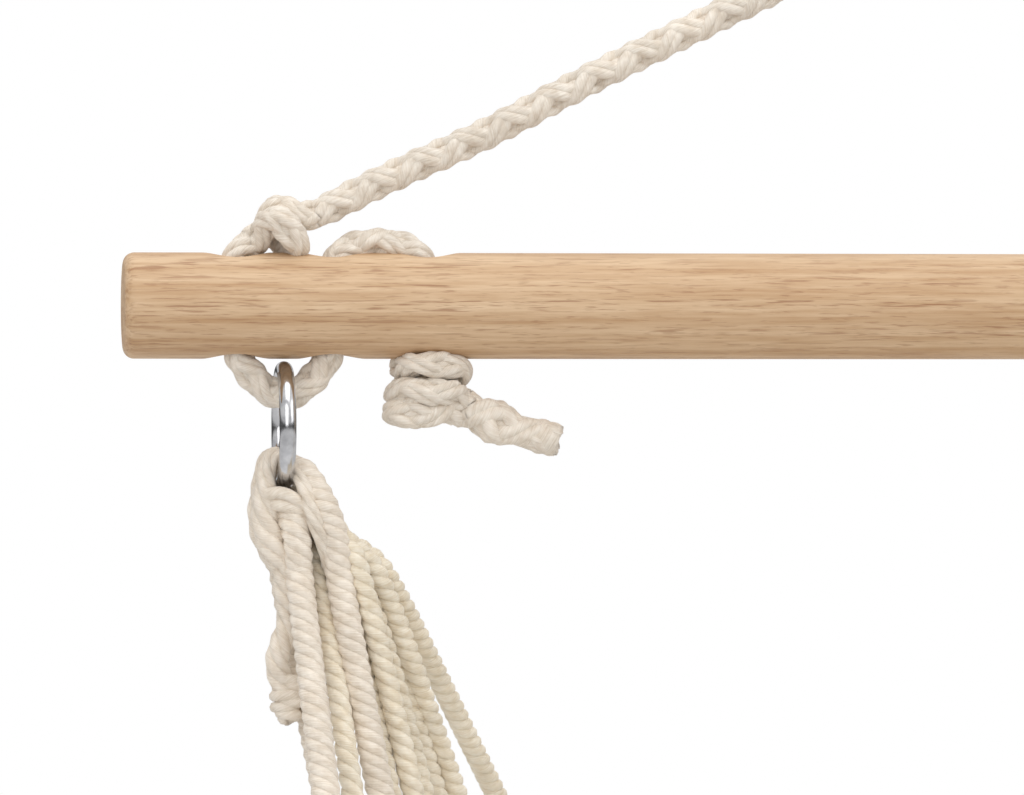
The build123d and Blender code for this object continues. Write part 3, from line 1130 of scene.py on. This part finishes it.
@dataclass
class ClewSide:
    """One end's fan of cords, its hitch on the ring and its knots on the seat's edge. Sizes in millimetres."""

    side: Side
    finishes: Finishes
    shape: SeatShape
    knot_radius: float = 7.0
    edge_gap: float = 5.8
    step: float = 1.15
    hitch_step: float = 1.0
    turn_radius: float = 4.3
    turn_points: int = 15
    turns_top: float = 5.0
    turns_height: float = 9.5
    edge_reach: float = 9.6

    def point(self, inset: float, y: float, drop: float) -> Vector:
        """A point placed from the side ring's centre, inwards, to the back and upwards."""
        return self.side.at(RING_X - inset, y, RING_Z + drop)

    def knot_centre(self, share: float) -> tuple[Vector, Vector, Vector]:
        """Where a cord's knot stands on the seat's edge.

        Args:
            share: The place along the edge.

        Returns:
            The knot's centre, the edge's own point and the direction of the edge, in metres.
        """
        flip = Vector((self.side.value, 1, 1))
        edge, along = self.shape.edge(share) * flip * MM, self.shape.edge_way(share) * flip
        cord = next(c for c in CLEW_CORDS if c.share == share)
        rise = (self.side.at(RING_X - cord.inset, cord.row, HITCH_FOOT) - edge).normalized()
        outwards = (rise - along * rise.dot(along)).normalized()
        return edge + outwards * (self.edge_gap + self.knot_radius) * MM, edge, along

    def cord_route(self, cord: ClewCord) -> list[Vector]:
        """Lays out a cord's route, from inside the hitch to its knot.

        Args:
            cord: The cord.

        Returns:
            The route's points, in metres.
        """
        centre, _, _ = self.knot_centre(cord.share)
        top = self.side.at(RING_X - cord.inset, cord.row, HITCH_FOOT)
        way = (centre - top).normalized()
        inwards = Vector((-self.side.value * MM, 0.0, 0.0))
        foot = centre - way * (self.knot_radius - 3.0) * MM
        rise = [self.point(*spot) for spot in cord.rise]
        upper, lower = (inwards * nudge for nudge in cord.nudges)
        return rise + [top + upper, top + (foot - top) * 0.17 + lower, top + (foot - top) * 0.6, foot]

    def build_cords(self) -> list[bpy.types.Object]:
        """Builds the fan's cords.

        Returns:
            The cords.
        """
        made = []
        for cord in CLEW_CORDS:
            line = Line.through(self.cord_route(cord), self.step * MM)
            strands = cord.shade.twist.strands(line, steady(line), cord.number * 1.3)
            node = f"{self.side.label}_cord_{cord.number:02d}"
            piece = strung(self.finishes, f"{node}_laid", strands, cord.shade.slot, "seat", node)
            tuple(line.points[0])
            line.length
            made.append(piece)
        return made

    def build_edge_knots(self) -> bpy.types.Object:
        """Builds the knots that tie the cords round the seat's edge.

        Returns:
            The knots, as one piece.
        """
        strands = []
        for cord in CLEW_CORDS:
            centre, edge, along = self.knot_centre(cord.share)
            way = (centre - edge).normalized()
            across = way.cross(along)
            wide, reach = self.turn_radius * MM, self.edge_reach * MM
            turns = [centre + way * 0.5 * MM]
            for number in range(self.turn_points):
                angle = number * math.pi / 3
                spot = along * math.cos(angle) * wide + across * math.sin(angle) * wide
                rise = self.turns_top - self.turns_height * number / (self.turn_points - 1)
                turns.append(centre + spot + way * rise * MM)
            turns += [
                edge + along * wide + across * reach * 0.8 + way * reach * 0.55,
                edge + along * wide * 0.6 + across * reach * 1.15 - way * reach * 0.4,
                edge - way * reach * 1.15,
                edge - along * wide * 0.6 - across * reach * 1.15 - way * reach * 0.4,
                edge - along * wide - across * reach * 0.8 + way * reach * 0.55,
                centre - along * wide * 0.4 - way * 3.0 * MM,
            ]
            line = Line.through(turns, self.step * MM, facing=tuple(way))
            strands += cord.shade.twist.strands(line, steady(line, cord.shade.knotted))
        node = f"{self.side.label}_edge_knots"
        return strung(self.finishes, f"{node}_tied", strands, "tan_cord", "seat", node)

    def build_hitch(self) -> list[bpy.types.Object]:
        """Builds the hitch on the ring, its tail and the tail's knot.

        Returns:
            The three pieces.
        """
        tail_route = (
            (0.0, -7.0, -44.0), (-1.0, -6.8, -56.0), (2.6, -7.0, -68.0), (-3.6, -8.0, -82.0), (-2.0, -8.2, -90.0),
            (0.6, -8.4, -96.0),
        )
        knot_route = (
            (-1.5, -8.5, -90.5), (3.6, -10.8, -91.6), (4.4, -6.6, -93.0), (-0.4, -4.8, -94.2), (-3.6, -8.6, -95.2),
            (0.4, -12.4, -96.4), (4.8, -9.2, -97.6), (1.8, -5.0, -98.8), (-3.0, -7.2, -99.8), (-1.0, -11.6, -100.8),
            (3.4, -9.6, -101.8), (1.6, -6.8, -102.8), (-0.6, -8.8, -103.4), (1.2, -9.4, -104.0),
        )
        bundles = (*FRONT_BUNDLES, *MIDDLE_BUNDLES, *(bundle.mirrored for bundle in FRONT_BUNDLES))
        hitch = []
        for number, bundle in enumerate(bundles):
            hitch += bundle.strands(self.hitch_line(bundle.route), number * 0.9)
        tail, knot = self.hitch_line(tail_route), self.hitch_line(knot_route)
        made = (
            ("hitch", "tied", hitch),
            ("hitch_tail", "laid", Twist(4, 9.0, 26.0, 1.2).strands(tail, steady(tail))),
            ("tail_knot", "tied", Twist(3, 7.0, 20.0, 1.25).strands(knot, steady(knot))),
        )
        label = self.side.label
        return [
            strung(self.finishes, f"{label}_{part}_{how}", strands, "pale_cord", "seat", f"{label}_{part}")
            for part, how, strands in made
        ]

    def hitch_line(self, route: Sequence[tuple]) -> Line:
        """A line through places near the ring, each inwards, to the back and upwards from its centre."""
        return Line.through([self.point(*spot) for spot in route], self.hitch_step * MM)


# ---- seat ------------------------------------------------------------------------------------------------------
@dataclass
class Seat:
    """The cotton seat: its sheet, its hems with their stitches, and the ropes in its edges. Sizes in millimetres."""

    finishes: Finishes
    shape: SeatShape
    columns: int = 96
    rows: int = 120
    cloth_thickness: float = 1.8
    cloth_length: float = 890.0
    hem_width: float = 26.0
    hem_thickness: float = 1.2
    hem_lift: float = 1.55
    end_stitch_lift: float = 2.35
    side_stitch_lift: float = 2.4
    seam_inset: float = 0.006
    hem_rows: int = 5
    end_hem_reach: float = 0.985
    end_seam_reach: float = 0.97
    side_hem_ends: tuple = (0.004, 0.996)
    side_seam_ends: tuple = (0.01, 0.99)
    side_hem_across: tuple = (0.945, 0.988)
    side_seam_across: float = 0.951
    fold_height: float = 5.0
    fold_tightness: float = 22.0
    edge_rope: Plait = Plait(3.6, 0.6, 38.0, 1.6, 1.9)

    def place(self, share: float, across: float) -> Vector:
        """A point on the cloth with the folds that the cords pull into it.

        Args:
            share: The place along the cloth, from its back, 0, to its front, 1.
            across: The place across it, from its left edge, -1, to its right edge, 1.

        Returns:
            The point, in millimetres.
        """
        spot = self.shape.cloth(share, across)
        near = abs(across) ** 5
        folds = sum(math.exp(-(((share - cord.share) * self.fold_tightness) ** 2)) for cord in CLEW_CORDS)
        loose = math.sin(share * 9.0 + across * 2.2) * 2.2 + math.sin(across * 7.0 - share * 5.0) * 1.8
        inwards = 1 - abs(across) ** 2
        drawn = self.fold_height * near * (folds - 0.8) * (1 - abs(across) ** 30)
        return spot + Vector((0, 0, drawn + loose * inwards))

    def sheet(
        self, name: str, shares: np.ndarray, acrosses: np.ndarray, lift: float, thick: float
    ) -> bpy.types.Object:
        """Makes a curved sheet on the cloth's surface, with its own map in metres.

        Args:
            name: The piece's name.
            shares: The places along the cloth.
            acrosses: The places across it.
            lift: How far it stands above the cloth's middle, in millimetres.
            thick: Its thickness, in millimetres.

        Returns:
            The piece, with its thickness applied.
        """
        grid = np.array([[self.place(s, a) for a in acrosses] for s in shares])
        along = np.gradient(grid, axis=0)
        across = np.gradient(grid, axis=1)
        normal = np.cross(across, along)
        normal /= np.linalg.norm(normal, axis=2)[..., None]
        normal *= np.sign(normal[..., 2:3])
        grid = (grid + normal * lift) * MM
        runs, falls = np.zeros(grid.shape[:2]), np.zeros(grid.shape[:2])
        runs[:, 1:] = np.cumsum(np.linalg.norm(np.diff(grid, axis=1), axis=2), axis=1)
        runs -= runs[:, len(acrosses) // 2][:, None]
        falls[1:] = np.cumsum(np.linalg.norm(np.diff(grid, axis=0), axis=2), axis=0)
        index = np.arange(runs.size).reshape(runs.shape)
        faces = np.stack([index[:-1, :-1], index[1:, :-1], index[1:, 1:], index[:-1, 1:]], 2).reshape(-1, 4)
        mesh = bpy.data.meshes.new(name)
        mesh.from_pydata(grid.reshape(-1, 3).tolist(), [], faces.tolist())
        marks = np.stack([runs.ravel(), falls.ravel()], 1)
        piece = mapped_piece(mesh, "cloth", marks[faces.ravel()])
        bpy.ops.object.select_all(action="DESELECT")
        piece.select_set(True)
        bpy.context.view_layer.objects.active = piece
        shell = piece.modifiers.new("thickness", "SOLIDIFY")
        shell.thickness = thick * MM
        shell.offset = 0.0
        shell.use_even_offset = True
        bpy.ops.object.modifier_apply(modifier=shell.name)
        return piece

    def stitches(self, name: str, spots: list[Vector]) -> bpy.types.Object:
        """Makes a row of stitches, one between each two of its spots.

        Args:
            name: The piece's name.
            spots: The needle's places, in metres.

        Returns:
            The piece.
        """
        strands = []
        for start, end in zip(spots[::2], spots[1::2]):
            rise = Vector((0, 0, 0.5 * MM))
            middle = (start + end) / 2 + rise
            points = np.array([start - rise * 2, start + rise * 0.6, middle, end + rise * 0.6, end - rise * 2])
            radius = np.array([0.3, 0.42, 0.45, 0.42, 0.3]) * MM
            facing = np.tile(np.array((0.0, 0.0, 1.0)), (5, 1)) + np.array((0.013, 0.011, 0.0))
            strands.append(Strand(points, radius, facing, np.linspace(0, 0.003, 5)))
        return strand_piece(name, strands, sides=5)

    def hem(self, name: str, shares: np.ndarray, acrosses: np.ndarray) -> list[bpy.types.Object]:
        """Builds the upper and the lower face of a turned hem.

        Args:
            name: The word that starts their names.
            shares: The places along the cloth.
            acrosses: The places across it.

        Returns:
            The two faces.
        """
        faces = []
        for face, lift in (("upper", self.hem_lift), ("lower", -self.hem_lift)):
            made = self.sheet(f"{name}_hem_{face}", shares, acrosses, lift, self.hem_thickness)
            faces.append(self.finishes.dress(made, "canvas"))
        return faces

    def seam(self, name: str, places: Iterable[tuple[float, float]], lift: float) -> bpy.types.Object:
        """Builds a hem's row of stitches.

        Args:
            name: The word that starts its name.
            places: The needle's places, each along and across the cloth.
            lift: How far the stitches stand above the cloth's middle, in millimetres.

        Returns:
            The stitches, as one piece.
        """
        spots = [(self.place(share, across) + Vector((0, 0, lift))) * MM for share, across in places]
        return self.finishes.dress(self.stitches(f"{name}_hem_stitches", spots), "pale_cord")

    def build(self) -> list[bpy.types.Object]:
        """Builds the seat.

        Returns:
            Its pieces, the cloth first.
        """
        shares, acrosses = np.linspace(0.0, 1.0, self.rows), np.linspace(-1.0, 1.0, self.columns)
        cloth = self.sheet("seat_canvas", shares, acrosses, 0.0, self.cloth_thickness)
        settle(self.finishes.dress(cloth, "canvas"), "seat", ["seat_cloth"])
        extras = []
        turned = self.hem_width / self.cloth_length
        for end, start, stop, sewn in (
            ("back", 0.0, turned, turned - self.seam_inset),
            ("front", 1 - turned, 1.0, 1 - turned + self.seam_inset),
        ):
            reach, sewn_reach = self.end_hem_reach, self.end_seam_reach
            extras += self.hem(end, np.linspace(start, stop, self.hem_rows), np.linspace(-reach, reach, 90))
            places = [(sewn, across) for across in np.linspace(-sewn_reach, sewn_reach, 380)]
            extras.append(self.seam(end, places, self.end_stitch_lift))
        for side in Side:
            across = side.value * np.linspace(*self.side_hem_across, self.hem_rows)
            extras += self.hem(side.label, np.linspace(*self.side_hem_ends, self.rows), across)
            sewn = side.value * self.side_seam_across
            places = [(share, sewn) for share in np.linspace(*self.side_seam_ends, 360)]
            extras.append(self.seam(side.label, places, self.side_stitch_lift))
            self.build_edge_rope(side)
        for piece in extras:
            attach(piece, "seat")
            log.info("%s: %d faces on seat", piece.name, len(piece.data.polygons))
        return [cloth, *extras]

    def build_edge_rope(self, side: Side) -> bpy.types.Object:
        """Builds the plaited rope in one side edge of the cloth.

        Args:
            side: The side.

        Returns:
            The rope.
        """
        flip = Vector((side.value, 1, 1))
        line = Line.through([corner * flip * MM for corner in self.shape.corners()], 1.3 * MM)
        node = f"{side.label}_edge_rope"
        strands = self.edge_rope.strands(line, steady(line))
        return strung(self.finishes, f"{node}_plait", strands, "pale_cord", "seat", node)


# ---- studio ----------------------------------------------------------------------------------------------------
@dataclass
class Studio:
    """The floor, the light and the camera. Distances in metres."""

    floor_z: float = -1.75
    lens: float = 250.0
    sensor: float = 36.0
    distance: float = 2.55
    azimuth: float = -6.0
    aim_x: float = -0.3605
    aim_drop: float = 0.0328

    def floor(self) -> None:
        """Lays a plain pale floor under the chair."""
        bpy.ops.object.select_all(action="DESELECT")
        bpy.ops.mesh.primitive_plane_add(size=36.0, location=(0.0, 0.0, self.floor_z))
        floor = bpy.context.active_object
        floor.name = "studio_floor"
        made = bpy.data.materials.new("pale_floor")
        made.use_nodes = True
        shader = made.node_tree.nodes["Principled BSDF"]
        shader.inputs["Base Color"].default_value = (0.82, 0.82, 0.82, 1.0)
        shader.inputs["Roughness"].default_value = 0.9
        floor.data.materials.append(made)

    def light(self) -> None:
        """Sets soft light from above and in front, before a white surround."""
        world = bpy.data.worlds.new("studio")
        bpy.context.scene.world = world
        world.use_nodes = True
        r = Recipe(world.node_tree)
        place = r.node("ShaderNodeSeparateXYZ")
        r.join(r.node("ShaderNodeTexCoord").outputs["Generated"], place.inputs[0])
        ramp = r.node("ShaderNodeValToRGB")
        for height, level in ((0.30, 0.46), (0.46, 0.62), (0.49, 0.06), (0.53, 0.10), (0.56, 0.75), (0.85, 1.0)):
            stop = ramp.color_ramp.elements.new(height)
            stop.color = (level, level, level, 1.0)
        ramp.color_ramp.elements.remove(ramp.color_ramp.elements[0])
        ramp.color_ramp.elements.remove(ramp.color_ramp.elements[-1])
        r.join(r.sum("ADD", r.sum("MULTIPLY", place.outputs[2], 0.5), 0.5), ramp.inputs[0])
        around = r.node("ShaderNodeBackground", {"Strength": 0.92})
        r.join(ramp.outputs[0], around.inputs[0])
        seen = r.node("ShaderNodeBackground", {"Color": (1.0, 1.0, 1.0, 1.0), "Strength": 1.0})
        mix = r.node("ShaderNodeMixShader")
        r.join(r.node("ShaderNodeLightPath").outputs["Is Camera Ray"], mix.inputs[0])
        r.join(around.outputs[0], mix.inputs[1])
        r.join(seen.outputs[0], mix.inputs[2])
        r.join(mix.outputs[0], r.node("ShaderNodeOutputWorld").inputs[0])
        for name, spot, size, power in (
            ("overhead", (-0.35, -0.55, BAR_Z * MM + 1.6), 1.6, 9.0),
            ("front", (-1.1, -2.2, BAR_Z * MM + 0.8), 1.6, 13.0),
            ("side", (1.6, -1.2, BAR_Z * MM + 0.9), 1.4, 8.0),
        ):
            bpy.ops.object.select_all(action="DESELECT")
            bpy.ops.object.light_add(type="AREA", location=spot)
            lamp = bpy.context.active_object
            lamp.name = f"{name}_light"
            lamp.data.shape = "SQUARE"
            lamp.data.size = size
            lamp.data.energy = power
            aim = Vector((-0.2, 0.0, BAR_Z * MM - 0.2)) - lamp.location
            lamp.rotation_euler = aim.to_track_quat("-Z", "Y").to_euler()

    def camera(self) -> None:
        """Sets the camera level with the bar, a little to its left, with a long lens."""
        aim = Vector((self.aim_x, 0.0, BAR_Z * MM - self.aim_drop))
        turn = math.radians(self.azimuth)
        back = Vector((math.sin(turn), -math.cos(turn), 0.0))
        bpy.ops.object.select_all(action="DESELECT")
        bpy.ops.object.camera_add(location=aim + back * self.distance)
        camera = bpy.context.active_object
        camera.name = "view_camera"
        camera.rotation_euler = (-back).to_track_quat("-Z", "Y").to_euler()
        camera.data.lens = self.lens
        camera.data.sensor_width = self.sensor
        camera.data.clip_end = 50.0
        bpy.context.scene.camera = camera
        bpy.context.scene.view_settings.view_transform = "Standard"

    def build(self) -> None:
        """Builds the studio."""
        self.floor()
        self.light()
        self.camera()


def dress_frame(finishes: Finishes) -> None:
    """Gives the CAD nodes that stay their finishes.

    Args:
        finishes: The chair's finishes.
    """
    kept = {"spreader_bar": "oak", **dict.fromkeys(("top_ring", "left_ring", "right_ring"), "polished_steel")}
    for node, slot in kept.items():
        finishes.dress(frame["nodes"][node], slot)
        log.info("%s: CAD node in %s", node, slot)


def main() -> None:
    """Builds the chair and its studio."""
    logging.basicConfig(level=logging.INFO, format="%(name)s: %(message)s")
    finishes = Finishes()
    shape = SeatShape()
    dress_frame(finishes)
    TopKnot(finishes).build()
    for side in Side:
        RopeSide(side, finishes).build()
        clew = ClewSide(side, finishes, shape)
        clew.build_cords()
        clew.build_edge_knots()
        clew.build_hitch()
    Seat(finishes, shape).build()
    Studio().build()


if __name__ == "__main__":
    main()
